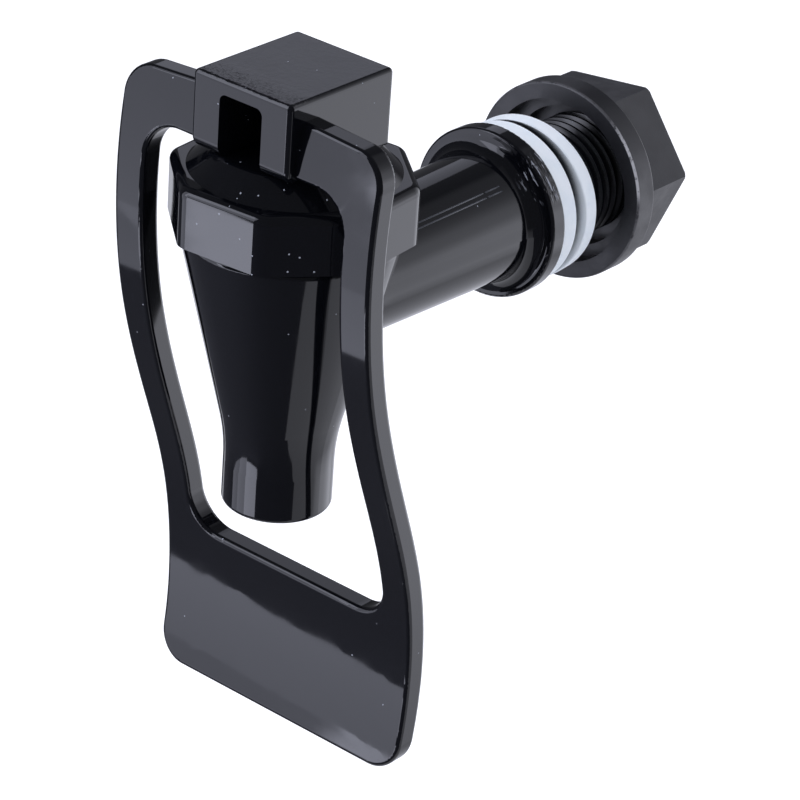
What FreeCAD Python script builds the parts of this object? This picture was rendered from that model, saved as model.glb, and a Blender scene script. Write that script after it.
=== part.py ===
"""Push-back beverage dispenser faucet with an open frame handle, in millimetres.

Origin: centre of the flange's rear face, on the shank's axis. +Y runs along the shank into the
dispenser, +Z is up, and the front of the faucet, where the glass comes, faces -Y.
"""
import FreeCAD, Part
import math
import os

Vector = FreeCAD.Vector

# Places of the main axes
reach = 51.0            # valve axis to the flange's rear face
pin_over_bonnet = 5.3   # handle pin above the bonnet's crown

# Shank, flange and threaded tail
shank_front_r = 9.7     # at the valve axis; the tube widens towards the flange
shank_rear_r = 11.0
flange_r = 14.5
flange_t = 3.3
flange_edge = 0.5
flange_root_r = 2.6
thread_r = 10.2
tail_length = 33.0
tail_chamfer = 1.0
tail_wall = 3.2
inlet_step = 0.5         # the passage through the tube is this much narrower than the tail's bore
inlet_r = thread_r - tail_wall
passage_r = inlet_r - inlet_step

# Spout cone and neck of the body
shoulder_z = 12.7
shoulder_r = 17.5
spout_r = 8.8
spout_bottom_z = -34.9
spout_throat_z = -23.2   # where the cone's line meets the straight end
throat_blend_r = 34.0
spout_lip = 0.8
neck_height = 5.2
neck_top_z = shoulder_z + neck_height

# Bonnet, an octagonal screw cap
bonnet_flats = 36.6
bonnet_turn = 5.0        # degrees past square that it was screwed to
bonnet_facet_h = 9.6
bonnet_facet_r = 3.2     # rounding between two facets
bonnet_shoulder_r = 1.5  # rounding over the top of the facets
bonnet_cone_step = 1.8   # foot of the domed crown, inside the flats
bonnet_crown_r = 12.6
bonnet_crown_edge = 1.2
bonnet_height = 13.2
bonnet_gap = 0.3         # bonnet over the body's shoulder
bonnet_skirt_t = 4.15
screw_fit = 0.05
neck_r = bonnet_flats / 2 - bonnet_skirt_t - screw_fit
bonnet_bottom_z = shoulder_z + bonnet_gap
bonnet_top_z = bonnet_bottom_z + bonnet_height

# Handle pin, pressed in from the left, with a blind end on the right
pin_r = 1.25
pin_sink = 0.25
pin_end_wall = 2.2
pin_chamfer = 0.2
pin_fit = 0.05
press_gap = 0.01
pin_height = bonnet_top_z + pin_over_bonnet

# Stem
stem_r = 3.9
stem_fit = 0.05
stem_groove = 1.0        # depth of the groove that holds the seat cup
collar_t = 1.2
collar_z = 1.0
knob_r = 5.0
knob_h = 3.0
knob_neck = 3.0
knob_round = 1.2

# Return spring and the room for it under the bonnet's crown
wire_r = 0.6
spring_play = 2.4        # stem to the coil's middle
collar_lip = 0.5         # collar past the coil
spring_turns = 5.5
spring_end_gap = 0.1
spring_room_play = 2.1
spring_room_h = 4.8
spring_room_edge = 1.0
coil_r = stem_r + spring_play
collar_r = coil_r + wire_r + collar_lip
spring_room_r = coil_r + wire_r + spring_room_play

# Seat cup of soft silicone, clamped between the neck and the bonnet
soft_gap = 0.1
neck_wall = 2.1
cup_flange_t = 1.6
cup_wall = 0.9
cup_play = 0.8           # stem's collar to the cup's inner wall
plug_blend = 3.0
plug_edge = 0.6
cup_edge = 1.0
cup_r = collar_r + cup_play + cup_wall
cup_flange_r = neck_r - neck_wall - soft_gap
clamp_z = neck_top_z + soft_gap
cup_flange_z = clamp_z - cup_flange_t
spring_ceiling_z = clamp_z + spring_room_h

# Valve chamber and seat
chamber_gap = 1.1        # cup to the chamber's wall
chamber_floor_z = -10.0
outlet_r = 6.3
outlet_flare = 0.5
seat_lip_w = 1.2
seat_lip_h = 0.8
plug_overlap = 0.8       # plug past the seat's lip
chamber_r = cup_r + chamber_gap
seat_r = outlet_r + seat_lip_w
seat_z = chamber_floor_z + seat_lip_h
plug_r = seat_r + plug_overlap

# Handle: hub block, S-curved open frame and paddle
hub_half_w = 9.8
hub_front = 12.9
hub_rear = 10.2
hub_height = 12.7
hub_edge_r = 0.8
hub_gap = 0.2            # hub over the bonnet's crown
rocker_r = 2.0           # lower front edge, which rocks on the bonnet
slot_play = 0.35         # stem's head to the slot's side
slot_head_gap = 1.4      # stem's head to the slot's roof
slot_top_r = 1.2
hub_bottom_z = bonnet_top_z + hub_gap
slot_half_w = stem_r + slot_play
slot_top_z = pin_height + stem_r + slot_head_gap
frame_t = 3.9
crossbar_step = 3.2      # hub's top over the crossbar's top edge
crossbar_depth = 8.8
crossbar_drop = 0.9      # fall of the top edge out to the corners
arm_top_w = 5.9
arm_low_w = 5.6
frame_half_w = 25.8
frame_belly_w = 26.5
frame_foot_w = 26.1
frame_belly_run = 10.0   # how far the belly's curve reaches along the side, up and down
frame_bottom_z = -76.6
paddle_height = 26.9
frame_corner_r = 5.5
frame_edge_r = 0.7
window_corner_r = 6.0
frame_top_z = hub_bottom_z + hub_height - crossbar_step
window_top_z = frame_top_z - crossbar_depth
window_bottom_z = frame_bottom_z + paddle_height
frame_end = 2.0          # how far the sweep runs past the frame, cut away again
frame_sway = [           # front face of the frame: height, and distance behind the valve axis
    (frame_top_z + frame_end, -9.4),
    (16.0, -12.1),
    (-4.5, -10.0),
    (-24.0, -4.1),
    (-41.0, 1.5),
    (-57.0, 3.7),
    (frame_bottom_z - frame_end, 1.3),
]

# Washers and flanged nut
washer_step = 0.7        # washers inside the flange's rim
washer_t = 3.8
rear_washer_t = 3.0
washer_edge = 0.25
washer_bore_gap = 0.25
washer_lean = 5.2        # degrees that the loose rear washer leans
washer_touch = 0.05
washer_r = flange_r - washer_step
nut_place = 16.0         # flange's rear face to the nut's rim, as it is screwed in the picture
nut_recess_gap = 0.4
nut_rim_wall = 2.9
nut_rim_t = 4.35
nut_rim_edge = 0.4
nut_flats = 27.7
nut_hex_h = 10.4
nut_turn = 6.8           # degrees that its corners stand past level
nut_recess_h = 3.3
nut_lead_gap = 2.0       # plain stretch before the nut's own thread
nut_lead_h = 3.2
nut_fit = 0.05
nut_corner = 0.3
nut_recess_r = washer_r + nut_recess_gap
nut_rim_r = nut_recess_r + nut_rim_wall

overcut = 1.0            # how far a cutting body runs past the face that it opens
tiny = 0.01              # tolerance for picking edges by their place


def unit(du, dv):
    """Scale a plane direction to length one."""
    size = math.hypot(du, dv)
    return du / size, dv / size


def rounded_wire(corners, place):
    """Closed wire through plane corners (u, v, radius), rounded with tangent arcs."""
    joints = []
    count = len(corners)
    for index, (u, v, radius) in enumerate(corners):
        before = corners[index - 1]
        after = corners[(index + 1) % count]
        if radius == 0:
            joints.append([(u, v)])
            continue
        a = unit(before[0] - u, before[1] - v)
        b = unit(after[0] - u, after[1] - v)
        half = math.acos(max(-1.0, min(1.0, a[0] * b[0] + a[1] * b[1]))) / 2
        cut = radius / math.tan(half)
        middle = unit(a[0] + b[0], a[1] + b[1])
        depth = radius / math.sin(half) - radius
        joints.append([
            (u + a[0] * cut, v + a[1] * cut),
            (u + middle[0] * depth, v + middle[1] * depth),
            (u + b[0] * cut, v + b[1] * cut),
        ])
    edges = []
    for index, joint in enumerate(joints):
        if len(joint) == 3:
            edges.append(Part.Arc(*[place(*point) for point in joint]).toShape())
        start = place(*joint[-1])
        end = place(*joints[(index + 1) % count][0])
        if start.distanceToPoint(end) > 1e-6:
            edges.append(Part.LineSegment(start, end).toShape())
    return Part.Wire(edges)


def run_radius(before, corner, after, run):
    """Radius of the arc that leaves both sides of a corner at a given distance from it."""
    a = unit(before[0] - corner[0], before[1] - corner[1])
    b = unit(after[0] - corner[0], after[1] - corner[1])
    return run * math.tan(math.acos(a[0] * b[0] + a[1] * b[1]) / 2)


def on_valve(radius, height):
    """Point of a profile turned about the upright valve axis."""
    return Vector(radius, -reach, height)


def on_shank(radius, along):
    """Point of a profile turned about the shank's axis."""
    return Vector(radius, along, 0)


def turned_on_valve(corners):
    """Solid of revolution about the valve axis from (radius, height, rounding) corners."""
    face = Part.Face(rounded_wire(corners, on_valve))
    return face.revolve(Vector(0, -reach, 0), Vector(0, 0, 1), 360)


def turned_on_shank(corners):
    """Solid of revolution about the shank's axis from (radius, along, rounding) corners."""
    face = Part.Face(rounded_wire(corners, on_shank))
    return face.revolve(Vector(0, 0, 0), Vector(0, 1, 0), 360)


def regular_points(sides, flats, first_corner):
    """Corners of a regular polygon by its width across flats."""
    radius = flats / 2 / math.cos(math.pi / sides)
    angles = [math.radians(first_corner) + 2 * math.pi * k / sides for k in range(sides)]
    return [(radius * math.cos(angle), radius * math.sin(angle)) for angle in angles]


def shank_radius(along):
    """Radius of the widening shank tube at a place along it."""
    slope = (shank_rear_r - shank_front_r) / (reach - flange_t)
    return shank_front_r + slope * (along + reach)


def faucet_body():
    """One moulding: neck, valve chamber, spout cone, shank, flange and threaded tail."""
    spout = turned_on_valve([
        (0, spout_bottom_z, 0),
        (spout_r, spout_bottom_z, spout_lip),
        (spout_r, spout_throat_z, throat_blend_r),
        (shoulder_r, shoulder_z, spout_lip),
        (neck_r, shoulder_z, 0),
        (neck_r, neck_top_z, 0),
        (0, neck_top_z, 0),
    ])
    shank = turned_on_shank([
        (0, -reach, 0),
        (shank_front_r, -reach, 0),
        (shank_radius(-flange_t), -flange_t, flange_root_r),
        (flange_r, -flange_t, flange_edge),
        (flange_r, 0, flange_edge),
        (thread_r, 0, 0),
        (thread_r, tail_length - tail_chamfer, 0),
        (thread_r - tail_chamfer, tail_length, 0),
        (0, tail_length, 0),
    ])
    body = spout.fuse(shank).removeSplitter()
    chamber = turned_on_valve([
        (0, spout_bottom_z - overcut, 0),
        (outlet_r + outlet_flare + overcut, spout_bottom_z - overcut, 0),
        (outlet_r, spout_bottom_z + outlet_flare, 0),
        (outlet_r, seat_z, 0),
        (seat_r, seat_z, 0),
        (seat_r, chamber_floor_z, 0),
        (chamber_r, chamber_floor_z, 0),
        (chamber_r, cup_flange_z, 0),
        (cup_flange_r + soft_gap, cup_flange_z, 0),
        (cup_flange_r + soft_gap, neck_top_z + overcut, 0),
        (0, neck_top_z + overcut, 0),
    ])
    inlet = turned_on_shank([
        (0, -reach, 0),
        (passage_r, -reach, 0),
        (passage_r, -flange_t, 0),
        (inlet_r, -flange_t, 0),
        (inlet_r, tail_length + overcut, 0),
        (0, tail_length + overcut, 0),
    ])
    return body.cut(chamber).cut(inlet)


def at_height(edge, height):
    """Whether an edge lies flat at a height."""
    box = edge.BoundBox
    return abs(box.ZMin - height) < tiny and abs(box.ZMax - height) < tiny


def bonnet():
    """Octagonal screw cap with a domed crown, which holds the seat cup and guides the stem."""
    facet_top = bonnet_bottom_z + bonnet_facet_h
    cone_foot_r = bonnet_flats / 2 - bonnet_cone_step
    corners = regular_points(8, bonnet_flats, bonnet_turn + 22.5)
    outline = rounded_wire(
        [(x, y, bonnet_facet_r) for x, y in corners], lambda x, y: Vector(x, y - reach, bonnet_bottom_z)
    )
    block = Part.Face(outline).extrude(Vector(0, 0, bonnet_facet_h))
    block = block.makeFillet(bonnet_shoulder_r, [edge for edge in block.Edges if at_height(edge, facet_top)])
    crown = turned_on_valve([
        (0, bonnet_bottom_z, 0),
        (cone_foot_r, bonnet_bottom_z, 0),
        (cone_foot_r, facet_top, 0),
        (bonnet_crown_r, bonnet_top_z, bonnet_crown_edge),
        (0, bonnet_top_z, 0),
    ])
    cap = block.fuse(crown)
    hollow = turned_on_valve([
        (0, bonnet_bottom_z - overcut, 0),
        (neck_r + screw_fit, bonnet_bottom_z - overcut, 0),
        (neck_r + screw_fit, clamp_z, 0),
        (spring_room_r, clamp_z, 0),
        (spring_room_r, spring_ceiling_z, spring_room_edge),
        (stem_r + stem_fit, spring_ceiling_z, 0),
        (stem_r + stem_fit, bonnet_top_z + overcut, 0),
        (0, bonnet_top_z + overcut, 0),
    ])
    return cap.cut(hollow).removeSplitter()


def stem():
    """Round stem: domed head with a cross hole, guide rod, spring collar and barbed knob."""
    knob_top = collar_z - knob_neck
    knob_bottom = knob_top - knob_h
    neck = stem_r - stem_groove
    rod = turned_on_valve([
        (0, knob_bottom, 0),
        (neck, knob_bottom, 0),
        (knob_r, knob_bottom + knob_h / 2, knob_round),
        (knob_r, knob_top, 0),
        (neck, knob_top, 0),
        (neck, collar_z, 0),
        (collar_r, collar_z, 0),
        (collar_r, collar_z + collar_t, 0),
        (stem_r, collar_z + collar_t, 0),
        (stem_r, pin_height, 0),
        (0, pin_height, 0),
    ])
    head = Part.makeSphere(stem_r, on_valve(0, pin_height))
    hole = Part.makeCylinder(
        pin_r + pin_fit, 4 * stem_r, Vector(-2 * stem_r, -reach, pin_height), Vector(1, 0, 0)
    )
    return rod.fuse(head).removeSplitter().cut(hole)


def seat_cup():
    """Soft bell that seals the seat and keeps the drink away from the spring."""
    knob_top = collar_z - knob_neck
    knob_bottom = knob_top - knob_h
    neck = stem_r - stem_groove
    inner_r = cup_r - cup_wall
    cup = turned_on_valve([
        (0, seat_z, 0),
        (plug_r, seat_z, plug_edge),
        (plug_r, collar_z - plug_blend, cup_edge),
        (cup_r, collar_z, cup_edge),
        (cup_r, cup_flange_z, 0),
        (cup_flange_r, cup_flange_z, 0),
        (cup_flange_r, clamp_z, 0),
        (inner_r, clamp_z, 0),
        (inner_r, collar_z - soft_gap, 0),
        (neck + soft_gap, collar_z - soft_gap, 0),
        (neck + soft_gap, knob_top + soft_gap, 0),
        (knob_r + soft_gap, knob_top + soft_gap, 0),
        (knob_r + soft_gap, knob_bottom + knob_h / 2, knob_round),
        (neck + soft_gap, knob_bottom - soft_gap, 0),
        (0, knob_bottom - soft_gap, 0),
    ])
    return cup


def return_spring():
    """Steel coil between the bonnet's ceiling and the stem's collar."""
    low = collar_z + collar_t + wire_r + spring_end_gap
    high = spring_ceiling_z - wire_r - spring_end_gap
    pitch = (high - low) / spring_turns
    helix = Part.makeHelix(pitch, high - low, coil_r)
    section = Part.Wire(Part.makeCircle(wire_r, Vector(coil_r, 0, 0), Vector(0, 1, 0)))
    coil = Part.Wire(helix).makePipeShell([section], True, True)
    coil.translate(Vector(0, -reach, low))
    return coil


def frame_blank():
    """S-curved plate of the handle's frame, as wide as its belly."""
    half = frame_belly_w + overcut
    front = Part.BSplineCurve()
    front.interpolate([Vector(-half, y - reach, z) for z, y in frame_sway])
    rear = front.copy()
    rear.translate(Vector(0, frame_t, 0))
    front_edge = front.toShape()
    rear_edge = rear.toShape()
    ends = [
        Part.LineSegment(front_edge.valueAt(at), rear_edge.valueAt(at)).toShape()
        for at in (front_edge.FirstParameter, front_edge.LastParameter)
    ]
    side = Part.Wire(Part.__sortEdges__([front_edge, ends[0], ends[1], rear_edge]))
    return Part.Face(side).extrude(Vector(2 * half, 0, 0))


def handle_outline():
    """Front view of the frame and paddle, mirrored about the middle."""
    corner_z = frame_top_z - crossbar_drop
    middle_z = frame_top_z + crossbar_drop * hub_half_w / (frame_half_w - hub_half_w)
    shoulder = (frame_half_w, corner_z)
    belly = (frame_belly_w, window_bottom_z)
    foot = (frame_foot_w, frame_bottom_z)
    right = [
        (*shoulder, frame_corner_r),
        (*belly, run_radius(shoulder, belly, foot, frame_belly_run)),
        (*foot, frame_corner_r),
    ]
    left = [(-x, z, radius) for x, z, radius in reversed(right)]
    return [(0, middle_z, 0)] + right + left


def window_outline():
    """Front view of the window that the spout stands in."""
    right = [
        (frame_half_w - arm_top_w, window_top_z, window_corner_r),
        (frame_belly_w - arm_low_w, window_bottom_z, window_corner_r),
    ]
    return right + [(-x, z, radius) for x, z, radius in reversed(right)]


def prism_along_y(corners, low, high):
    """Front-view outline pulled along Y."""
    wire = rounded_wire(corners, lambda x, z: Vector(x, low, z))
    return Part.Face(wire).extrude(Vector(0, high - low, 0))


def handle():
    """One moulding: slotted hub block, crossbar, two swept arms and the paddle."""
    low = -reach - hub_front - frame_belly_w
    high = -reach + frame_belly_w
    frame = frame_blank().common(prism_along_y(handle_outline(), low, high))
    frame = frame.cut(prism_along_y(window_outline(), low, high))
    rims = [edge for edge in frame.Edges if edge.BoundBox.YLength > 0 and not along_y(edge)]
    frame = frame.makeFillet(frame_edge_r, rims)
    corner = Vector(-hub_half_w, -reach - hub_front, hub_bottom_z)
    hub = Part.makeBox(2 * hub_half_w, hub_front + hub_rear, hub_height, corner)
    rocker = [edge for edge in hub.Edges if is_rocker(edge)]
    hub = hub.makeFillet(rocker_r, rocker)
    hub = hub.makeFillet(hub_edge_r, [edge for edge in hub.Edges if is_hub_rim(edge)])
    slot = prism_along_y([
        (-slot_half_w, hub_bottom_z - overcut, 0),
        (slot_half_w, hub_bottom_z - overcut, 0),
        (slot_half_w, slot_top_z, slot_top_r),
        (-slot_half_w, slot_top_z, slot_top_r),
    ], -reach - hub_front - overcut, -reach)
    well_h = slot_top_z - hub_bottom_z + overcut
    well = Part.makeCylinder(slot_half_w, well_h, on_valve(0, hub_bottom_z - overcut))
    bore_length = 2 * hub_half_w - pin_end_wall + overcut
    bore = Part.makeCylinder(
        pin_r + press_gap, bore_length, Vector(-hub_half_w - overcut, -reach, pin_height), Vector(1, 0, 0)
    )
    return hub.fuse(frame).cut(slot).cut(well).cut(bore)


def along_y(edge):
    """Whether an edge runs front to rear through the frame."""
    box = edge.BoundBox
    return box.XLength < frame_edge_r and box.ZLength < frame_edge_r


def is_rocker(edge):
    """Whether an edge is the hub's lower front edge."""
    box = edge.BoundBox
    return box.ZMax < hub_bottom_z + tiny and box.YMax < -reach - hub_front + tiny


def is_hub_rim(edge):
    """Whether an edge is one of the hub's uprights or runs round its top."""
    box = edge.BoundBox
    upright = box.ZLength > hub_height / 2
    return upright or box.ZMin > hub_bottom_z + hub_height - tiny


def handle_pin():
    """Steel pin that joins the handle to the stem's head."""
    start = -hub_half_w + pin_sink
    length = 2 * hub_half_w - pin_sink - pin_end_wall - pin_sink
    pin = Part.makeCylinder(pin_r, length, Vector(start, -reach, pin_height), Vector(1, 0, 0))
    return pin.makeChamfer(pin_chamfer, [edge for edge in pin.Edges if edge.BoundBox.XLength < tiny])


def ring(outer, inner, thick):
    """Flat washer about the shank's axis, with its front face at the origin."""
    return turned_on_shank([
        (inner, 0, 0),
        (outer, 0, washer_edge),
        (outer, thick, washer_edge),
        (inner, thick, 0),
    ])


def washer_front():
    """Silicone washer flat against the flange."""
    return ring(washer_r, thread_r + washer_bore_gap, washer_t)


def washer_rear():
    """Loose silicone washer, leaning against the front one at its left edge."""
    washer = ring(washer_r, thread_r + washer_bore_gap, rear_washer_t)
    lean = math.radians(washer_lean)
    washer.translate(Vector(0, -rear_washer_t / 2, 0))
    washer.rotate(Vector(0, 0, 0), Vector(0, 0, 1), washer_lean)
    half = washer_r * math.sin(lean) + rear_washer_t / 2 * math.cos(lean)
    washer.translate(Vector(0, washer_t + washer_touch + half, 0))
    return washer


def mounting_nut():
    """Flanged hex nut with a deep recess for the washer in its front."""
    rim = turned_on_shank([
        (0, nut_place, 0),
        (nut_rim_r, nut_place, nut_rim_edge),
        (nut_rim_r, nut_place + nut_rim_t, nut_rim_edge),
        (0, nut_place + nut_rim_t, 0),
    ])
    hex_front = nut_place + nut_rim_t / 2
    hex_rear = nut_place + nut_rim_t + nut_hex_h
    points = [Vector(x, hex_front, z) for x, z in regular_points(6, nut_flats, nut_turn)]
    block = Part.Face(Part.makePolygon(points + points[:1])).extrude(Vector(0, hex_rear - hex_front, 0))
    corner_r = nut_flats / 2 / math.cos(math.pi / 6)
    cone = turned_on_shank([
        (0, hex_front, 0),
        (corner_r + overcut, hex_front, 0),
        (corner_r + overcut, hex_rear - nut_corner - overcut, 0),
        (corner_r - nut_corner, hex_rear, 0),
        (0, hex_rear, 0),
    ])
    nut = rim.fuse(block.common(cone))
    recess_floor = nut_place + nut_recess_h
    lead_r = thread_r + nut_lead_gap
    hollow = turned_on_shank([
        (0, nut_place - overcut, 0),
        (nut_recess_r, nut_place - overcut, 0),
        (nut_recess_r, recess_floor, 0),
        (lead_r, recess_floor, 0),
        (lead_r, recess_floor + nut_lead_h, 0),
        (thread_r + nut_fit, recess_floor + nut_lead_h, 0),
        (thread_r + nut_fit, hex_rear + overcut, 0),
        (0, hex_rear + overcut, 0),
    ])
    return nut.cut(hollow).removeSplitter()


def main():
    """Build every piece and write one STEP file for each."""
    os.makedirs("parts", exist_ok=True)
    pieces = {
        "faucet_body": faucet_body(),
        "bonnet": bonnet(),
        "stem": stem(),
        "seat_cup": seat_cup(),
        "return_spring": return_spring(),
        "handle": handle(),
        "handle_pin": handle_pin(),
        "washer_front": washer_front(),
        "washer_rear": washer_rear(),
        "mounting_nut": mounting_nut(),
    }
    for name, shape in pieces.items():
        solid = shape.Solids[0] if shape.Solids else shape
        print(name, "solids", len(shape.Solids), "valid", shape.isValid(), "volume", round(solid.Volume, 1))
        shape.exportStep(f"parts/{name}.step")


main()
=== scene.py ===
"""Dressed model of a push-back drink dispenser faucet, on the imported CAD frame.

Every length in a class is in millimetres and becomes metres where a mesh is made, apart from the
studio's, which are in metres. +Y runs along the shank into the dispenser, +Z is up, and the front
of the faucet faces -Y.
"""
import logging
import math
from dataclasses import dataclass
from enum import Enum

import bmesh
import bpy
from mathutils import Matrix, Vector
from mathutils.kdtree import KDTree


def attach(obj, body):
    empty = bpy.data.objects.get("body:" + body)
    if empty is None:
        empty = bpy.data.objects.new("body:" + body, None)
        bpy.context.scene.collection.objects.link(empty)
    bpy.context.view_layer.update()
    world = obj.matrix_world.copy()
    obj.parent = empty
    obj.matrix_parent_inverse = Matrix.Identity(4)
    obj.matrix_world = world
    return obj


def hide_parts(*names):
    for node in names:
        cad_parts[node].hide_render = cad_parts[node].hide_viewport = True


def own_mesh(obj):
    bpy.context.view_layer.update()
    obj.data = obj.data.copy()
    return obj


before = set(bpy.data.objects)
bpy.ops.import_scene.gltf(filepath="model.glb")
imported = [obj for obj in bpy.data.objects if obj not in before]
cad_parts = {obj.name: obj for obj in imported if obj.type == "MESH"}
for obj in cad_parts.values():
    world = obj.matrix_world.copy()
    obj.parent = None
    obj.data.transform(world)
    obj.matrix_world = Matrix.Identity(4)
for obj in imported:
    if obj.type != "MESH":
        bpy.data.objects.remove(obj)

log = logging.getLogger("faucet")
MM = 0.001
WELD_MM = 0.0001  # points of a CAD mesh nearer than this are one point
ACETAL_IOR = 1.48
NOISE_SPAN = (0.3, 0.7)  # nearly all of a noise's values lie between these

Socket = bpy.types.NodeSocket


class Place(Enum):
    """Where the new pieces ride and what they are made of, by the record's names."""

    BODY = "faucet"
    STEM = "stem"
    PLASTIC = "body_plastic"
    SILICONE = "cup_silicone"
    WIRE = "spring_steel"


class Along(Enum):
    """The axis that steel was drawn or ground along."""

    SIDEWAYS = 0
    UPRIGHT = 2


def linear(code: str) -> tuple[float, float, float, float]:
    """Turn an sRGB hex colour into Blender's linear colour.

    Args:
        code: colour such as "#1a2b3c".

    Returns:
        Linear red, green and blue with an alpha of one.
    """
    parts = [int(code[i:i + 2], 16) / 255 for i in (1, 3, 5)]
    red, green, blue = [
        p / 12.92 if p <= 0.04045 else ((p + 0.055) / 1.055) ** 2.4 for p in parts]
    return red, green, blue, 1.0


def add_node(tree: bpy.types.NodeTree, kind: str, inputs: dict | None = None,
             **settings) -> bpy.types.Node:
    """Add a node, set its properties, and set or link its inputs.

    Args:
        tree: node tree that gets the node.
        kind: the node's type name.
        inputs: values or output sockets by input name or number.
        settings: the node's own properties.

    Returns:
        The new node.
    """
    made = tree.nodes.new(kind)
    for name, value in settings.items():
        setattr(made, name, value)
    for key, value in (inputs or {}).items():
        if isinstance(value, Socket):
            tree.links.new(value, made.inputs[key])
        else:
            made.inputs[key].default_value = value
    return made


def mesh_piece(name: str, bm: bmesh.types.BMesh) -> bpy.types.Object:
    """Turn a finished bmesh into a smooth-shaded object at the origin.

    Args:
        name: the piece's name.
        bm: its mesh, which is freed.

    Returns:
        The new object.
    """
    mesh = bpy.data.meshes.new(name)
    bm.to_mesh(mesh)
    bm.free()
    mesh.shade_smooth()
    piece = bpy.data.objects.new(name, mesh)
    bpy.context.scene.collection.objects.link(piece)
    return piece


def mark_sharp(bm: bmesh.types.BMesh, angle: float) -> None:
    """Keep the edges crisp where two faces turn by more than an angle.

    Args:
        bm: the mesh.
        angle: the angle, in degrees.
    """
    for edge in bm.edges:
        if len(edge.link_faces) == 2 and edge.calc_face_angle() > math.radians(angle):
            edge.smooth = False


def dress(piece: bpy.types.Object, material: bpy.types.Material) -> None:
    """Give a piece one finish all over.

    Args:
        piece: mesh object, new or from the CAD frame.
        material: its finish.
    """
    if not piece.material_slots:
        piece.data.materials.append(material)
    for place in piece.material_slots:
        place.material = material


def facing(azimuth: float, elevation: float) -> Vector:
    """Give the direction from the faucet to a place around it.

    Args:
        azimuth: 0 is in front of the faucet and 90 on its right, in degrees.
        elevation: height above the level, in degrees.

    Returns:
        The unit vector.
    """
    a, e = math.radians(azimuth), math.radians(elevation)
    return Vector((math.sin(a) * math.cos(e), -math.cos(a) * math.cos(e), math.sin(e)))


class Finish:
    """A procedural finish on a Principled shader, read from Object coordinates.

    A finish's gloss is its least and its most roughness. Any other pair of numbers is the two ends
    of a change.
    """

    name = "finish"

    def start(self) -> None:
        """Make the material with its shader and coordinates."""
        self.material = bpy.data.materials.new(self.name)
        self.material.use_nodes = True
        self.tree = self.material.node_tree
        self.shader = self.tree.nodes["Principled BSDF"]
        self.place = add_node(self.tree, "ShaderNodeTexCoord").outputs["Object"]
        self.axes = add_node(self.tree, "ShaderNodeSeparateXYZ", {"Vector": self.place})

    def noise(self, size_mm: float, detail: float = 2.0, roughness: float = 0.5,
              place: Socket | None = None) -> Socket:
        """Give a noise whose features are a real size.

        Args:
            size_mm: width of a feature.
            detail: octaves.
            roughness: weight of the finer octaves.
            place: stretched coordinates, where the object's own don't do.

        Returns:
            The noise's value.
        """
        return add_node(self.tree, "ShaderNodeTexNoise", {
            "Vector": self.place if place is None else place, "Scale": 1 / (size_mm * MM),
            "Detail": detail, "Roughness": roughness}).outputs["Fac"]

    def ramp(self, value: Socket, start: float, end: float,
             low: float = 0.0, high: float = 1.0) -> Socket:
        """Map a value smoothly from one range to another.

        Args:
            value: what is mapped.
            start: value that gives low.
            end: value that gives high.
            low: result at the start.
            high: result at the end.

        Returns:
            The mapped value.
        """
        return add_node(self.tree, "ShaderNodeMapRange", {
            "Value": value, "From Min": start, "From Max": end, "To Min": low, "To Max": high},
            interpolation_type="SMOOTHSTEP").outputs["Result"]

    def clouds(self, size_mm: float, gloss: tuple[float, float], detail: float = 4.0) -> Socket:
        """Let the roughness wander in soft clouds.

        Args:
            size_mm: width of a cloud.
            gloss: the least and the most roughness.
            detail: octaves.

        Returns:
            The roughness.
        """
        return self.ramp(self.noise(size_mm, detail, 0.6), *NOISE_SPAN, *gloss)

    def maths(self, operation: str, *values: Socket | float) -> Socket:
        """Combine values. Args: operation, values. Returns: the result's socket."""
        return add_node(
            self.tree, "ShaderNodeMath", dict(enumerate(values)), operation=operation).outputs[0]

    def bump(self, height: Socket, depth_mm: float, under: Socket | None = None) -> Socket:
        """Turn a height into a normal, over a coarser relief where there is one.

        Args:
            height: height from 0 to 1.
            depth_mm: how high 1 stands.
            under: the normal that this relief lies on.

        Returns:
            The new normal.
        """
        inputs = {"Height": height, "Distance": depth_mm * MM, "Strength": 1.0}
        if under is not None:
            inputs["Normal"] = under
        return add_node(self.tree, "ShaderNodeBump", inputs).outputs["Normal"]

    def blend(self, share: Socket, colour: str, over: tuple | Socket) -> Socket:
        """Lay a colour over another by a share. Args: share, colour, over. Returns: the mix."""
        return add_node(self.tree, "ShaderNodeMix", {
            "Factor": share, 6: over, 7: linear(colour)}, data_type="RGBA").outputs[2]

    def finish(self, **inputs: Socket | float | tuple) -> bpy.types.Material:
        """Set or link the shader's own sockets, with _ for a space in their names.

        Args:
            inputs: values or sockets by name.

        Returns:
            The material.
        """
        for name, value in inputs.items():
            socket = self.shader.inputs[name.replace("_", " ")]
            if isinstance(value, Socket):
                self.tree.links.new(value, socket)
            else:
                socket.default_value = value
        return self.material


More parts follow.
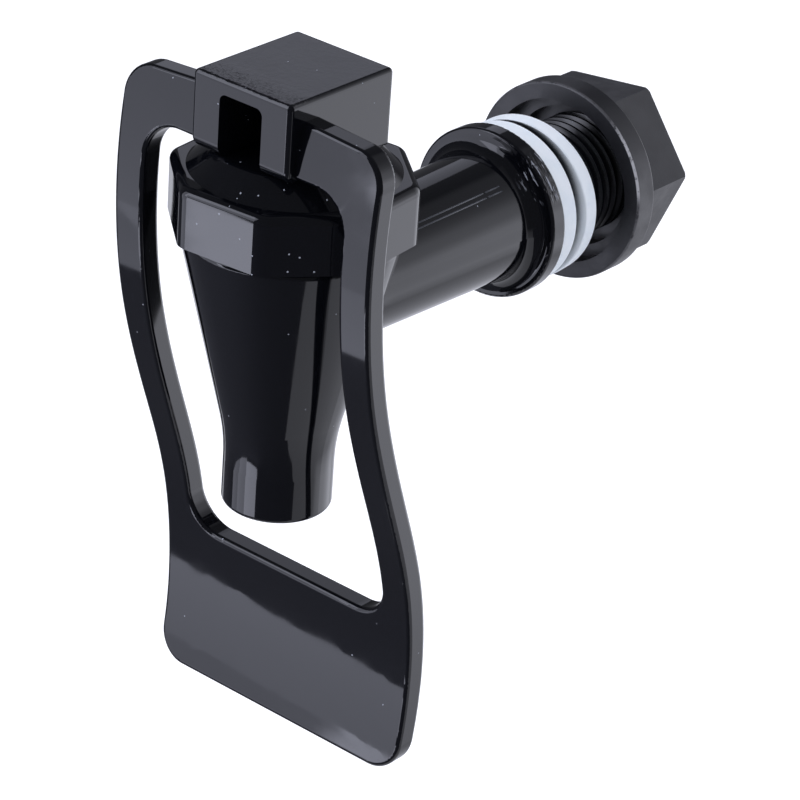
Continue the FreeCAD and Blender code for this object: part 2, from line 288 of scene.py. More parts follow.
@dataclass
class PolishedAcetal(Finish):
    """Black acetal from a polished mould: a clear gloss that wavers where the wall sank."""

    name: str
    colour: str = "#08090d"
    gloss: tuple[float, float] = (0.04, 0.08)
    cloud_mm: float = 7.0
    sink_mm: float = 11.0
    sink_depth_mm: float = 0.012
    dust_colour: str = "#9a9ea6"
    dust_roughness: float = 0.75
    dust_mm: float = 2.4
    dust_share: float = 0.2
    speck_mm: float = 0.12
    peel_above_mm: float | None = None
    peel_rise_mm: float = 0.3
    peel_from_mm: float = -63.9
    peel_fade_mm: tuple[float, float] = (1.5, 6.5)
    peel_rest: float = 0.22
    peel_mm: float = 0.9
    peel_depth_mm: float = 0.15
    peel_haze: float = 0.1
    # The gate scar: its bump and haze, and marks painted pale as a highlight
    scar_at_mm: tuple[float, float, float] | None = None
    scar_reach_mm: tuple[float, float] = (5.2, 2.6)
    scar_depth_mm: float = 0.3
    scar_haze: float = 0.12
    mark_mm: float = 0.5
    mark_stretch: float = 6.0
    mark_glint_span: tuple[float, float] = (0.58, 0.66)

    def build(self) -> bpy.types.Material:
        """Make the finish.

        Returns:
            The material.
        """
        self.start()
        # Cooling draws the wall in by hundredths of a millimetre, which bends reflections' edges
        normal = self.bump(self.noise(self.sink_mm, 1.0, 0.3), self.sink_depth_mm)
        # Handling leaves duller clouds, some 7 mm wide, in the polish
        gloss = self.clouds(self.cloud_mm, self.gloss)
        if self.peel_above_mm is not None:
            normal, gloss = self.peel(normal, gloss)
        speck = self.dust()
        if self.scar_at_mm is not None:
            normal, gloss, scar_glint = self.scar(normal, gloss)
            # The dust specks and the gate scar's painted highlight share the pale dust colour
            speck = self.maths("MAXIMUM", speck, scar_glint)
        dull = add_node(self.tree, "ShaderNodeMix", {
            0: speck, 2: gloss, 3: self.dust_roughness}, data_type="FLOAT")
        return self.finish(
            Base_Color=self.blend(speck, self.dust_colour, linear(self.colour)),
            Roughness=dull.outputs[0], Normal=normal, IOR=ACETAL_IOR)

    def dust(self) -> Socket:
        """Scatter pale specks, a quarter of a millimetre wide, which static holds.

        Returns:
            Their mask.
        """
        cells = add_node(self.tree, "ShaderNodeTexVoronoi", {
            "Vector": self.place, "Scale": 1 / (self.dust_mm * MM)})
        chance = add_node(self.tree, "ShaderNodeSeparateColor", {"Color": cells.outputs["Color"]})
        inside = self.maths("LESS_THAN", cells.outputs["Distance"], self.speck_mm / self.dust_mm)
        return self.maths(
            "MULTIPLY", inside, self.maths("LESS_THAN", chance.outputs[0], self.dust_share))

    def peel(self, normal: Socket, gloss: Socket) -> tuple[Socket, Socket]:
        """Ripple the hub's flat top, most along its front edge, where the melt met the cool mould.

        Args:
            normal: the surface's normal so far.
            gloss: its roughness so far.

        Returns:
            The new normal and roughness.
        """
        top = self.ramp(self.axes.outputs["Z"], (self.peel_above_mm - self.peel_rise_mm) * MM,
                        self.peel_above_mm * MM)
        fade = [(self.peel_from_mm + past) * MM for past in self.peel_fade_mm]
        front = self.ramp(self.axes.outputs["Y"], *fade, 1.0, self.peel_rest)
        ripple = self.maths("MULTIPLY", self.noise(self.peel_mm, 2.0, 0.55),
                            self.maths("MULTIPLY", top, front))
        dull = self.maths("ADD", gloss, self.maths("MULTIPLY", top, self.peel_haze))
        return self.bump(ripple, self.peel_depth_mm, normal), dull

    def scar(self, normal: Socket, gloss: Socket) -> tuple[Socket, Socket, Socket]:
        """Roughen the place where the runner was cut from the flange's edge, and paint its marks
        pale as a highlight.

        Args:
            normal: the surface's normal so far.
            gloss: its roughness so far.

        Returns:
            The new normal and roughness, and the mask of the marks painted pale as a highlight.
        """
        away = add_node(self.tree, "ShaderNodeVectorMath", {
            0: self.place, 1: tuple(v * MM for v in self.scar_at_mm)}, operation="DISTANCE")
        near = self.ramp(away.outputs["Value"], *(reach * MM for reach in self.scar_reach_mm))
        # The cutter ran along the rim, so the marks are six times as long that way as wide
        turn = math.atan2(self.scar_at_mm[0], self.scar_at_mm[2])
        along = add_node(self.tree, "ShaderNodeVectorRotate", {
            "Vector": self.place, "Angle": -turn}, rotation_type="Y_AXIS").outputs[0]
        drawn = add_node(self.tree, "ShaderNodeMapping", {
            "Vector": along, "Scale": (1 / self.mark_stretch, 1.0, 1.0)}).outputs[0]
        marks = self.noise(self.mark_mm, 2.0, 0.6, drawn)
        ragged = self.maths("MULTIPLY", marks, near)
        # Painted highlight: the marks' peaks are painted pale, as the shiny streaks along the
        # trimmed edge
        scar_glint = self.maths("MULTIPLY", self.ramp(marks, *self.mark_glint_span), near)
        dull = self.maths("ADD", gloss, self.maths("MULTIPLY", near, self.scar_haze))
        return self.bump(ragged, self.scar_depth_mm, normal), dull, scar_glint


@dataclass
class SparkedNylon(Finish):
    """Black nylon from a spark-eroded mould: a fine even grain that makes a satin."""

    name: str
    colour: str = "#1a1a1e"
    worn_colour: str = "#2c2c30"
    worn_mm: float = 5.0
    worn_span: tuple[float, float] = (0.45, 0.8)
    worn_share: float = 0.35
    gloss: tuple[float, float] = (0.34, 0.46)
    cloud_mm: float = 4.0
    grain_mm: float = 0.32
    grain_depth_mm: float = 0.014
    wave_mm: float = 9.0
    wave_depth_mm: float = 0.01
    # Where the painted highlight on the rim's front edge lies, and how pale it is
    glint_colour: str = "#b4b4b6"
    glint_y_mm: float | None = None
    glint_back_mm: tuple[float, float] = (0.45, 0.3)
    glint_radius_mm: tuple[float, float] = (16.7, 16.85)
    glint_right_mm: tuple[float, float] = (9.0, 13.5)
    glint_up_mm: tuple[float, float] = (1.0, 4.0)
    glint_left: float = 0.12
    glint_low: float = 0.15
    ragged_mm: float = 1.6
    ragged_span: tuple[float, float] = (0.36, 0.5)

    def build(self) -> bpy.types.Material:
        """Make the finish.

        Returns:
            The material.
        """
        self.start()
        # The real grain is near 0.05 mm, too fine to show, so it is drawn six times as coarse
        normal = self.bump(self.noise(self.grain_mm, 2.0, 0.6), self.grain_depth_mm)
        normal = self.bump(self.noise(self.wave_mm, 1.0, 0.3), self.wave_depth_mm, normal)
        gloss = self.clouds(self.cloud_mm, self.gloss)
        worn = self.ramp(
            self.noise(self.worn_mm, 3.0, 0.6), *self.worn_span, 0.0, self.worn_share)
        colour = self.blend(worn, self.worn_colour, linear(self.colour))
        # A painted highlight along the rim's front edge, most at the upper right
        if self.glint_y_mm is not None:
            colour = self.blend(self.rim_glint(), self.glint_colour, colour)
        return self.finish(Base_Color=colour, Roughness=gloss, Normal=normal, IOR=1.53)

    def rim_glint(self) -> Socket:
        """Paint a pale line on the rim's front edge, most at the upper right: a painted highlight
        where the trimmed flash catches the light.

        Returns:
            The painted highlight's mask.
        """
        x, y, z = (self.axes.outputs[axis] for axis in "XYZ")
        edge = self.ramp(y, *((self.glint_y_mm + back) * MM for back in self.glint_back_mm))
        reach = self.maths("ADD", self.maths("POWER", x, 2.0), self.maths("POWER", z, 2.0))
        rim = self.ramp(reach, *((radius * MM) ** 2 for radius in self.glint_radius_mm))
        right = self.ramp(x, *(side * MM for side in self.glint_right_mm), self.glint_left, 1.0)
        high = self.ramp(z, *(up * MM for up in self.glint_up_mm), self.glint_low, 1.0)
        ragged = self.ramp(self.noise(self.ragged_mm, 4.0, 0.75), *self.ragged_span)
        mask = edge
        for share in (rim, ragged, right, high):
            mask = self.maths("MULTIPLY", mask, share)
        return mask


@dataclass
class CastSilicone(Finish):
    """Translucent white silicone, press-moulded: light sinks in a little, which softens shades."""

    name: str
    colour: str = "#f2f9fc"
    cloud_colour: str = "#e2ecf4"
    cloud_mm: float = 4.0
    cloud_span: tuple[float, float] = (0.35, 0.75)
    cloud_share: float = 0.5
    gloss: tuple[float, float] = (0.4, 0.55)
    gloss_mm: float = 1.5
    grain_mm: float = 0.35
    grain_depth_mm: float = 0.012
    soak_mm: float = 0.8
    soak_share: float = 0.35
    # Colour, reach and span of the painted shade in the gap between two washers
    gap_shade_colour: str = "#1b1d22"
    shade_reach_mm: float = 3.0
    shade_span: tuple[float, float] = (0.8, 0.5)

    def build(self) -> bpy.types.Material:
        """Make the finish.

        Returns:
            The material.
        """
        self.start()
        # Slow cloudiness in the cure, a few millimetres wide, and the press plate's fine grain
        cloud = self.ramp(
            self.noise(self.cloud_mm, 3.0, 0.6), *self.cloud_span, 0.0, self.cloud_share)
        normal = self.bump(self.noise(self.grain_mm, 2.0, 0.6), self.grain_depth_mm)
        # Painted shade: ambient occlusion darkens the colour in the narrow gap between two
        # washers, where next to no light reaches
        light = add_node(self.tree, "ShaderNodeAmbientOcclusion", {"Distance": self.shade_reach_mm * MM})
        gap_shade = self.ramp(light.outputs["AO"], *self.shade_span)
        colour = self.blend(cloud, self.cloud_colour, linear(self.colour))
        return self.finish(
            Base_Color=self.blend(gap_shade, self.gap_shade_colour, colour),
            Roughness=self.clouds(self.gloss_mm, self.gloss, 3.0), Normal=normal, IOR=1.41,
            Subsurface_Weight=self.soak_share, Subsurface_Radius=(1.0, 1.0, 1.0),
            Subsurface_Scale=self.soak_mm * MM)


@dataclass
class MachinedAcetal(Finish):
    """Black acetal rod turned on a lathe: satin, with fine rings about its axis."""

    name: str
    colour: str = "#101014"
    gloss: tuple[float, float] = (0.24, 0.34)
    cloud_mm: float = 3.0
    ring_mm: float = 0.25
    ring_depth_mm: float = 0.006
    ring_waver: float = 0.6

    def build(self) -> bpy.types.Material:
        """Make the finish.

        Returns:
            The material.
        """
        self.start()
        # The tool's feed leaves rings a quarter of a millimetre apart along the stem
        rings = add_node(self.tree, "ShaderNodeTexWave", {
            "Vector": self.place, "Scale": 1 / (self.ring_mm * MM) / (2 * math.pi),
            "Distortion": self.ring_waver}, wave_type="BANDS", bands_direction="Z").outputs["Fac"]
        return self.finish(
            Base_Color=linear(self.colour), Roughness=self.clouds(self.cloud_mm, self.gloss, 3.0),
            Normal=self.bump(rings, self.ring_depth_mm), IOR=ACETAL_IOR)


@dataclass
class StainlessSteel(Finish):
    """Stainless steel wire or pin: bright, with fine lines the way it was drawn or ground."""

    name: str
    colour: str = "#c9c7c2"
    line_colour: str = "#8d8b86"
    line_span: tuple[float, float] = (0.4, 0.7)
    line_share: float = 0.4
    gloss: tuple[float, float] = (0.16, 0.32)
    line_mm: float = 0.12
    line_depth_mm: float = 0.003
    line_stretch: float = 30.0
    along: Along = Along.SIDEWAYS

    def build(self) -> bpy.types.Material:
        """Make the finish.

        Returns:
            The material.
        """
        self.start()
        # Drawing lines, stretched thirty times as long as they are wide
        stretch = [1.0, 1.0, 1.0]
        stretch[self.along.value] = 1 / self.line_stretch
        drawn = add_node(self.tree, "ShaderNodeMapping", {"Vector": self.place, "Scale": stretch})
        lines = self.noise(self.line_mm, place=drawn.outputs[0])
        worn = self.ramp(lines, *self.line_span, 0.0, self.line_share)
        return self.finish(
            Base_Color=self.blend(worn, self.line_colour, linear(self.colour)), Metallic=1.0,
            Roughness=self.ramp(lines, *NOISE_SPAN, *self.gloss),
            Normal=self.bump(lines, self.line_depth_mm))


@dataclass
class BodyMoulding:
    """Spout, neck, shank, flange and threaded tail."""

    cut_y: float = 0.3
    crest_r: float = 10.2
    root_r: float = 9.25
    pitch: float = 1.8
    crest_flat: float = 0.22
    flank_end: float = 0.62
    root_start: float = 0.76
    root_fillet: float = 0.12
    turns_before: float = 1.5
    tail_end: float = 33.0
    chamfer: float = 1.0
    bore_r: float = 7.0
    steps: int = 72
    seam: float = 0.005
    sharp_angle: float = 38.0
    same_face: float = 0.001
    shank_front_r: float = 9.7
    shank_rear_r: float = 11.0
    reach: float = 51.0
    flange_t: float = 3.3
    gate: tuple[float, float, float] = (10.6, -1.5, 9.9)
    bead_r: float = 0.15
    bead_sink: float = 0.05
    bead_angles: tuple[float, float] = (37.3, 42.1)
    bead_runs: tuple[tuple[float, float], ...] = ((-30.5, -12.3), (-11.9, -8.4))
    bead_round: float = 0.6
    sides: int = 10

    def shank_radius(self, along: float) -> float:
        """Radius of the tapered tube. Args: along, the place on +Y. Returns: its radius."""
        slope = (self.shank_rear_r - self.shank_front_r) / (self.reach - self.flange_t)
        return self.shank_front_r + slope * (along + self.reach)

    def keep_shading(self, piece: bpy.types.Object, source: bpy.types.Object) -> None:
        """Give the cut copy the CAD surface's own normals, face by face.

        Args:
            piece: the merged and cut copy.
            source: the CAD node that it was copied from.
        """
        old = source.data
        tree = KDTree(len(old.polygons))
        for face in old.polygons:
            tree.insert(face.center, face.index)
        tree.balance()
        corner = [c.vector.copy() for c in old.corner_normals]
        mesh = piece.data
        normals = [(0.0, 0.0, 0.0)] * len(mesh.loops)
        for face in mesh.polygons:
            _, index, away = tree.find(face.center)
            for loop in face.loop_indices:
                # A face that the cut changed has no twin, and is shaded flat
                if away > self.same_face * MM:
                    normals[loop] = face.normal.copy()
                    continue
                here = mesh.vertices[mesh.loops[loop].vertex_index].co
                normals[loop] = min(
                    (((old.vertices[old.loops[i].vertex_index].co - here).length, corner[i])
                     for i in old.polygons[index].loop_indices), key=lambda pair: pair[0])[1]
        mesh.normals_split_custom_set(normals)

    def shell(self, node: bpy.types.Object) -> bpy.types.Object:
        """Copy the CAD body without its plain tail.

        Args:
            node: the CAD node.

        Returns:
            The closed copy.
        """
        bm = bmesh.new()
        bm.from_mesh(node.data)
        bmesh.ops.remove_doubles(bm, verts=bm.verts, dist=WELD_MM * MM)
        cut = bmesh.ops.bisect_plane(
            bm, geom=[*bm.verts, *bm.edges, *bm.faces], plane_co=(0, self.cut_y * MM, 0),
            plane_no=(0, 1, 0), clear_outer=True)
        rim = [e for e in cut["geom_cut"] if isinstance(e, bmesh.types.BMEdge)]
        bmesh.ops.bridge_loops(bm, edges=rim)
        piece = mesh_piece("body_shell", bm)
        self.keep_shading(piece, node)
        return piece

    def thread_profile(self) -> list[tuple[float, float]]:
        """Draw one turn of the thread.

        Returns:
            The place along the turn and the radius, point by point.
        """
        half = [(0.0, self.crest_r), (self.crest_flat, self.crest_r),
                (self.flank_end, self.root_r + self.root_fillet), (self.root_start, self.root_r)]
        return half + [(self.pitch - along, radius) for along, radius in reversed(half)]

    def tail(self) -> bpy.types.Object:
        """Wind the external thread over the tail, and bore it.

        Returns:
            The closed threaded tube.
        """
        bm = bmesh.new()
        first = self.cut_y - self.turns_before * self.pitch
        points = [bm.verts.new((radius * MM, (first + along) * MM, 0))
                  for along, radius in self.thread_profile()]
        line = [bm.edges.new(pair) for pair in zip(points, points[1:])]
        turns = math.ceil((self.tail_end - first) / self.pitch) + 1
        bmesh.ops.spin(
            bm, geom=[*points, *line], cent=(0, 0, 0), axis=(0, 1, 0), angle=2 * math.pi * turns,
            dvec=(0, self.pitch * MM / self.steps, 0), steps=self.steps * turns)
        bmesh.ops.remove_doubles(bm, verts=bm.verts, dist=self.seam * MM)
        for place, side in ((self.cut_y, "clear_inner"), (self.tail_end, "clear_outer")):
            bmesh.ops.bisect_plane(
                bm, geom=[*bm.verts, *bm.edges, *bm.faces], plane_co=(0, place * MM, 0),
                plane_no=(0, 1, 0), **{side: True})
        for vert in bm.verts:
            radius = math.hypot(vert.co.x, vert.co.z)
            most = (self.crest_r - max(0.0, vert.co.y / MM - self.tail_end + self.chamfer)) * MM
            if radius > most:
                vert.co.x *= most / radius
                vert.co.z *= most / radius
        open_edges = [e for e in bm.edges if e.is_boundary]
        grown = bmesh.ops.extrude_edge_only(bm, edges=open_edges)["geom"]
        for vert in [v for v in grown if isinstance(v, bmesh.types.BMVert)]:
            radius = math.hypot(vert.co.x, vert.co.z)
            vert.co.x *= self.bore_r * MM / radius
            vert.co.z *= self.bore_r * MM / radius
        mouths = [e for e in grown if isinstance(e, bmesh.types.BMEdge) and e.is_boundary]
        bmesh.ops.bridge_loops(bm, edges=mouths)
        bmesh.ops.recalc_face_normals(bm, faces=bm.faces)
        mark_sharp(bm, self.sharp_angle)
        return mesh_piece("threaded_tail", bm)

    def beads(self) -> bpy.types.Object:
        """Lay the two fine witness lines of the mould's insert along the shank.

        Returns:
            The beads, one object.
        """
        bm = bmesh.new()
        for angle in self.bead_angles:
            outward = Vector((math.sin(math.radians(angle)), 0, math.cos(math.radians(angle))))
            for start, end in self.bead_runs:
                ends = [Vector((0, y, 0)) + outward * (self.shank_radius(y) - self.bead_sink)
                        for y in (start, end)]
                run = ends[1] - ends[0]
                turn = run.to_track_quat("Z", "Y").to_matrix().to_4x4()
                rod = bmesh.ops.create_cone(
                    bm, cap_ends=True, segments=self.sides, radius1=self.bead_r,
                    radius2=self.bead_r, depth=run.length,
                    matrix=Matrix.Translation((ends[0] + ends[1]) / 2) @ turn)["verts"]
                rims = {e for v in rod for e in v.link_edges if e.calc_length() < self.bead_r}
                bmesh.ops.bevel(
                    bm, geom=list(rims), offset=self.bead_round * self.bead_r, segments=2,
                    profile=0.5, affect="EDGES", material=-1)
        bmesh.ops.scale(bm, verts=bm.verts, vec=(MM, MM, MM))
        bmesh.ops.recalc_face_normals(bm, faces=bm.faces)
        return mesh_piece("shank_witness_lines", bm)

    def build(self) -> None:
        """Make the body's pieces, dress them, and put them on the faucet."""
        # The body's finish paints the gate scar's marks pale as a highlight
        acetal = PolishedAcetal("black acetal, body", scar_at_mm=self.gate).build()
        thread = PolishedAcetal(
            "black acetal, thread", gloss=(0.14, 0.24), sink_depth_mm=0.01).build()
        shell = self.shell(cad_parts["faucet_body"])
        # The witness-line beads are painted a paler grey: a painted highlight for the bright lines
        # that they show
        bead_highlight = PolishedAcetal(
            "pale acetal, painted highlight", colour="#44464b", gloss=(0.2, 0.3)).build()
        for piece, material in ((shell, acetal), (self.tail(), thread), (self.beads(), bead_highlight)):
            dress(piece, material)
            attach(piece, Place.BODY.value)
            log.info("%s: %d faces", piece.name, len(piece.data.polygons))
        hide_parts("faucet_body")


@dataclass
class Bonnet:
    """Octagonal screw cap, with more dust on it than the other pieces have."""

    sink: float = 9.0
    dust: float = 1.3
    dust_share: float = 0.22
    speck: float = 0.15

    def build(self) -> None:
        """Dress the cap."""
        dress(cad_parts["bonnet"], PolishedAcetal(
            "black acetal, bonnet", sink_mm=self.sink, dust_mm=self.dust,
            dust_share=self.dust_share, speck_mm=self.speck).build())
        log.info("bonnet dressed")


@dataclass
class PushHandle:
    """Hub, crossbar, arms and paddle, with the cross pin."""

    hub_top: float = 39.1
    peel_lip: float = 0.05

    def build(self) -> None:
        """Dress the handle and its pin."""
        dress(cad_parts["handle"], PolishedAcetal(
            "black acetal, handle", peel_above_mm=self.hub_top - self.peel_lip).build())
        dress(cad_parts["handle_pin"], StainlessSteel("ground stainless pin").build())
        log.info("handle and pin dressed")


@dataclass
class Valve:
    """Stem, seat cup and return spring."""

    joint: str = "stem_lift"
    sharp_angle: float = 35.0

    def squeezed(self, node: str, name: str, material: bpy.types.Material) -> None:
        """Stand a copy in for a soft node, riding on the stem.

        Args:
            node: the CAD node.
            name: the copy's name.
            material: its finish.
        """
        bm = bmesh.new()
        bm.from_mesh(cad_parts[node].data)
        bmesh.ops.remove_doubles(bm, verts=bm.verts, dist=WELD_MM * MM)
        bmesh.ops.recalc_face_normals(bm, faces=bm.faces)
        mark_sharp(bm, self.sharp_angle)
        piece = mesh_piece(name, bm)
        dress(piece, material)
        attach(piece, Place.STEM.value)
        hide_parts(node)
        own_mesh(piece)

    def build(self) -> None:
        """Dress the valve's pieces."""
        dress(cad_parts["stem"], MachinedAcetal("turned black acetal").build())
        self.squeezed("seat_cup", "seat_bell",
                      CastSilicone("silicone seat cup", colour="#e4e5e4").build())
        self.squeezed("return_spring", "spring_coil",
                      StainlessSteel("drawn spring wire", along=Along.UPRIGHT).build())


@dataclass
class PanelJoint:
    """The two washers and the mounting nut."""

    nut_face: float = 16.0

    def build(self) -> None:
        """Dress the washers and the nut."""
        silicone = CastSilicone("silicone washer").build()
        for name in ("washer_front", "washer_rear"):
            dress(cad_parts[name], silicone)
        # The nut's finish paints a highlight along its front rim edge
        dress(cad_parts["mounting_nut"],
              SparkedNylon("black nylon nut", glint_y_mm=self.nut_face).build())
        log.info("washers and nut dressed")


@dataclass(frozen=True)
class WhitePaper:
    """Matt white paper, lifted to the plain white background where the camera sees it."""

    name: str = "matt white floor"
    colour: str = "#f0f0f0"
    lift: float = 0.45

    def build(self) -> bpy.types.Material:
        """Make the paper.

        Returns:
            The material.
        """
        made = bpy.data.materials.new(self.name)
        made.use_nodes = True
        tree = made.node_tree
        tree.nodes.clear()
        # Diffuse paper sends soft light up under the faucet, and the glow is for the camera alone
        path = add_node(tree, "ShaderNodeLightPath")
        lift = add_node(tree, "ShaderNodeMath", {
            0: path.outputs["Is Camera Ray"], 1: self.lift}, operation="MULTIPLY")
        glow = add_node(tree, "ShaderNodeEmission", {
            "Color": linear("#ffffff"), "Strength": lift.outputs[0]})
        paper = add_node(tree, "ShaderNodeBsdfDiffuse", {"Color": linear(self.colour)})
        both = add_node(tree, "ShaderNodeAddShader", {0: paper.outputs[0], 1: glow.outputs[0]})
        add_node(tree, "ShaderNodeOutputMaterial", {"Surface": both.outputs[0]})
        return made


@dataclass
class FlockCloth(Finish):
    """Grey flock, whose upright fibres swallow light, so that it reflects as an even dark grey."""

    name: str = "grey flock cloth"
    colour: str = "#5c5c60"
    brushed_colour: str = "#68686c"
    patch_mm: float = 165.0
    roughness: float = 0.9
    specular: float = 0.1

    def build(self) -> bpy.types.Material:
        """Make the cloth.

        Returns:
            The material.
        """
        self.start()
        # The pile lies this way or that in patches as wide as a hand, some a little paler
        patches = self.noise(self.patch_mm, 3.0)
        return self.finish(
            Base_Color=self.blend(patches, self.brushed_colour, linear(self.colour)),
            Roughness=self.roughness, Specular_IOR_Level=self.specular)


@dataclass(frozen=True)
class Softbox:
    """A lamp in the studio, turned towards the faucet.

    Its centre and size are in metres. Azimuth 0 faces the faucet from the front and 90 from its
    right, in degrees, and the elevation tips it down from above.
    """

    name: str
    centre: tuple[float, float, float]
    azimuth: float
    elevation: float
    width: float
    height: float
    radiance: float
    in_gloss: bool = True
    colour: str = "#e9ecff"


@dataclass(frozen=True)
class Cloth:
    """A dark cloth on the table: its left, right, near and far edges in metres."""

    left: float
    right: float
    near: float
    far: float


@dataclass
class Studio:
    """Camera, pale floor, dark cloths, world and lamps. Lengths in metres, angles in degrees."""

    azimuth: float = 38.6
    elevation: float = 27.82
    roll: float = 4.23
    distance: float = 0.5625
    lens: float = 159.88
    sensor: float = 36.0
    clip: tuple[float, float] = (0.05, 20.0)
    target: tuple[float, float, float] = (0.0, -0.0285, 0.0)
    across: float = 0.002736
    upward: float = -0.02249
    floor_z: float = -0.30
    floor_reach: float = 3.0
    cloth_t: float = 0.002
    cloths: tuple[Cloth, ...] = (Cloth(-0.12, 1.2, -6.0, -0.17), Cloth(-6.0, -0.12, -6.0, 0.06))
    softboxes: tuple[Softbox, ...] = (
        Softbox("window, front left", (-0.2993, -0.3106, 0.11), -23.5, 0.0, 0.237, 0.58, 1.7),
        Softbox("window's foot, left", (-0.3475, -0.2896, -0.24), -23.5, 0.0, 0.132, 0.12, 1.35),
        Softbox("window's foot, right", (-0.2273, -0.3419, -0.24), -23.5, 0.0, 0.130, 0.12, 2.1),
        Softbox("strip, front", (-0.1733, -0.3655, -0.065), -23.5, 0.0, 0.038, 0.23, 5.0),
        Softbox("strip, low front", (-0.0921, -0.4008, -0.2425), -23.5, 0.0, 0.165, 0.085, 4.0),
        Softbox("strip, high front left", (-0.3735, -0.6201, 0.397), -33.0, 31.0, 0.30, 0.55, 2.2),
        Softbox("bounce, rear left", (-0.708, 0.724, 0.526), -139.0, 26.0, 0.42, 0.42, 0.65),
        Softbox("ceiling", (0.0, -0.045, 1.385), 0.0, 88.0, 1.6, 1.6, 0.3, in_gloss=False),
    )
    even_light: float = 0.8
    tint: str = "#f1f3ff"
    room: float = 0.11
    table_glow: float = 0.85
    table_span: tuple[float, float] = (-0.45, -0.2)
    back_azimuth: float = 155.0
    back_span: tuple[float, float] = (0.82, 0.95)
    back_stops: tuple[tuple[float, float], ...] = (
        (-0.6, 0.0), (-0.5, 0.9), (-0.4, 1.35), (-0.3, 1.6), (-0.17, 2.3), (-0.02, 2.45),
        (0.17, 1.46), (0.34, 1.2), (0.5, 0.6), (0.64, 0.3), (0.77, 0.15), (0.9, 0.05))

    def camera(self) -> None:
        """Stand the camera where the photograph was taken from."""
        back = facing(self.azimuth, self.elevation)
        turn, roll = math.radians(self.azimuth), math.radians(self.roll)
        right = Vector((math.cos(turn), math.sin(turn), 0))
        up = back.cross(right)
        side = math.cos(roll) * right + math.sin(roll) * up
        top = math.cos(roll) * up - math.sin(roll) * right
        data = bpy.data.cameras.new("camera")
        data.lens = self.lens
        data.sensor_width = self.sensor
        data.clip_start, data.clip_end = self.clip
        camera = bpy.data.objects.new("camera", data)
        place = Vector(self.target) + side * self.across + top * self.upward + back * self.distance
        turned = Matrix((side, top, back)).transposed().to_4x4()
        camera.matrix_world = Matrix.Translation(place) @ turned
        bpy.context.scene.collection.objects.link(camera)
        bpy.context.scene.camera = camera

    def lamp(self, box: Softbox) -> None:
        """Hang one softbox, facing the faucet.

        Args:
            box: its place, size and brightness.
        """
        data = bpy.data.lights.new(box.name, "AREA")
        data.shape = "RECTANGLE"
        data.size, data.size_y = box.width, box.height
        # The power that gives the panel its radiance over its whole face
        data.energy = box.radiance * box.width * box.height * math.pi
        data.color = linear(box.colour)[:3]
        lamp = bpy.data.objects.new(box.name, data)
        lamp.location = box.centre
        lamp.rotation_mode = "QUATERNION"
        lamp.rotation_quaternion = facing(box.azimuth, box.elevation).to_track_quat("Z", "Y")
        lamp.visible_camera = False
        lamp.visible_glossy = box.in_gloss
        bpy.context.scene.collection.objects.link(lamp)

    def floor(self) -> None:
        """Lay the pale floor, and the dark cloths, which only reflections show."""
        bm = bmesh.new()
        bmesh.ops.create_grid(bm, x_segments=8, y_segments=8, size=self.floor_reach)
        bmesh.ops.translate(bm, verts=bm.verts, vec=(0, 0, self.floor_z))
        floor = mesh_piece("floor", bm)
        floor.visible_glossy = False
        dress(floor, WhitePaper().build())

        bm = bmesh.new()
        for cloth in self.cloths:
            made = bmesh.ops.create_grid(bm, x_segments=4, y_segments=4, size=0.5)["verts"]
            size = (cloth.right - cloth.left, cloth.far - cloth.near, 1)
            middle = ((cloth.left + cloth.right) / 2, (cloth.near + cloth.far) / 2)
            bmesh.ops.scale(bm, verts=made, vec=size)
            bmesh.ops.translate(bm, verts=made, vec=(*middle, self.floor_z + self.cloth_t))
        cover = mesh_piece("dark_cloth", bm)
        dress(cover, FlockCloth().build())
        cover.visible_camera = False
        cover.visible_diffuse = False
        cover.visible_shadow = False

    def room_glow(self, tree: bpy.types.NodeTree) -> Socket:
        """Draw the dim room that reflections show, with its glowing table and its bright rear.

        Args:
            tree: the world's node tree.

        Returns:
            The room's radiance.
        """
        way = add_node(tree, "ShaderNodeTexCoord").outputs["Generated"]
        height = add_node(tree, "ShaderNodeSeparateXYZ", {"Vector": way}).outputs["Z"]
        # The rear's brightness by height, from the lowest stop to the highest
        lift = add_node(
            tree, "ShaderNodeMapRange", {"Value": height, "From Min": -1.0, "From Max": 1.0})
        fade = add_node(tree, "ShaderNodeValToRGB", {"Fac": lift.outputs["Result"]})
        most = max(tone for _, tone in self.back_stops)
        stops = fade.color_ramp.elements
        for index, (place, tone) in enumerate(self.back_stops):
            stop = stops[index] if index < 2 else stops.new((place + 1) / 2)
            stop.position = (place + 1) / 2
            stop.color = (tone / most, tone / most, tone / most, 1)
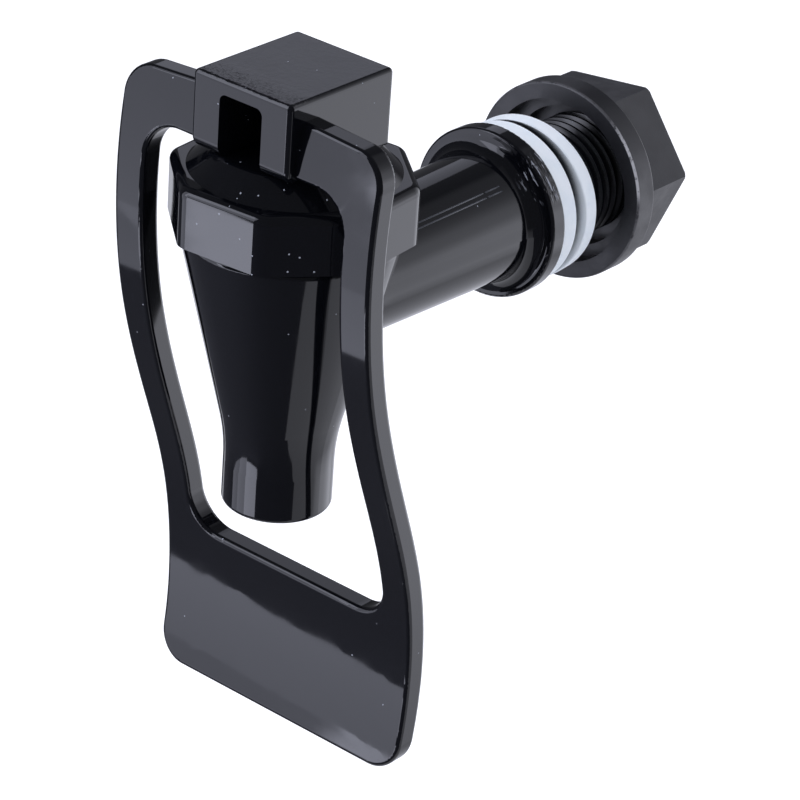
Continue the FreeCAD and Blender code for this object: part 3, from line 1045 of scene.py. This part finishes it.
        # The rear is a sector of the level circle, whatever the height
        turn = math.radians(self.back_azimuth)
        flat = add_node(
            tree, "ShaderNodeVectorMath", {0: way, 1: (1, 1, 0)}, operation="MULTIPLY")
        level = add_node(
            tree, "ShaderNodeVectorMath", {0: flat.outputs[0]}, operation="NORMALIZE")
        behind = add_node(tree, "ShaderNodeVectorMath", {
            0: level.outputs[0], 1: (math.sin(turn), -math.cos(turn), 0)}, operation="DOT_PRODUCT")
        back = add_node(tree, "ShaderNodeMapRange", {
            "Value": behind.outputs["Value"], "From Min": self.back_span[0],
            "From Max": self.back_span[1], "To Min": 0.0, "To Max": most},
            interpolation_type="SMOOTHSTEP")
        table = add_node(tree, "ShaderNodeMapRange", {
            "Value": height, "From Min": self.table_span[0], "From Max": self.table_span[1],
            "To Min": self.room + self.table_glow, "To Max": self.room})
        return add_node(tree, "ShaderNodeMath", {
            0: fade.outputs["Color"], 1: back.outputs["Result"], 2: table.outputs["Result"]},
            operation="MULTIPLY_ADD").outputs[0]

    def world(self) -> None:
        """Light the faucet evenly, show plain white behind it, and a dim room in reflections."""
        world = bpy.data.worlds.new("studio")
        bpy.context.scene.world = world
        world.use_nodes = True
        tree = world.node_tree
        sky = tree.nodes["Background"]
        path = add_node(tree, "ShaderNodeLightPath").outputs
        seen = add_node(tree, "ShaderNodeMath", {
            0: path["Is Glossy Ray"], 1: path["Is Transmission Ray"]}, operation="MAXIMUM")
        level = add_node(tree, "ShaderNodeMix", {
            0: seen.outputs[0], 2: self.even_light, 3: self.room_glow(tree)}, data_type="FLOAT")
        shown = add_node(tree, "ShaderNodeMix", {
            0: path["Is Camera Ray"], 2: level.outputs[0], 3: 1.0}, data_type="FLOAT")
        tint = add_node(tree, "ShaderNodeMix", {
            "Factor": path["Is Camera Ray"], 6: linear(self.tint), 7: linear("#ffffff")},
            data_type="RGBA")
        tree.links.new(shown.outputs[0], sky.inputs["Strength"])
        tree.links.new(tint.outputs[2], sky.inputs["Color"])

    def build(self) -> None:
        """Set up the whole studio."""
        bpy.context.scene.view_settings.view_transform = "Standard"
        self.camera()
        self.floor()
        self.world()
        for box in self.softboxes:
            self.lamp(box)
        log.info("studio: %d softboxes", len(self.softboxes))


def main() -> None:
    """Dress the faucet and set up the studio."""
    logging.basicConfig(level=logging.INFO, format="%(name)s: %(message)s")
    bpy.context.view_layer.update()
    for part in (BodyMoulding(), Bonnet(), PushHandle(), Valve(), PanelJoint(), Studio()):
        part.build()


if __name__ == "__main__":
    main()
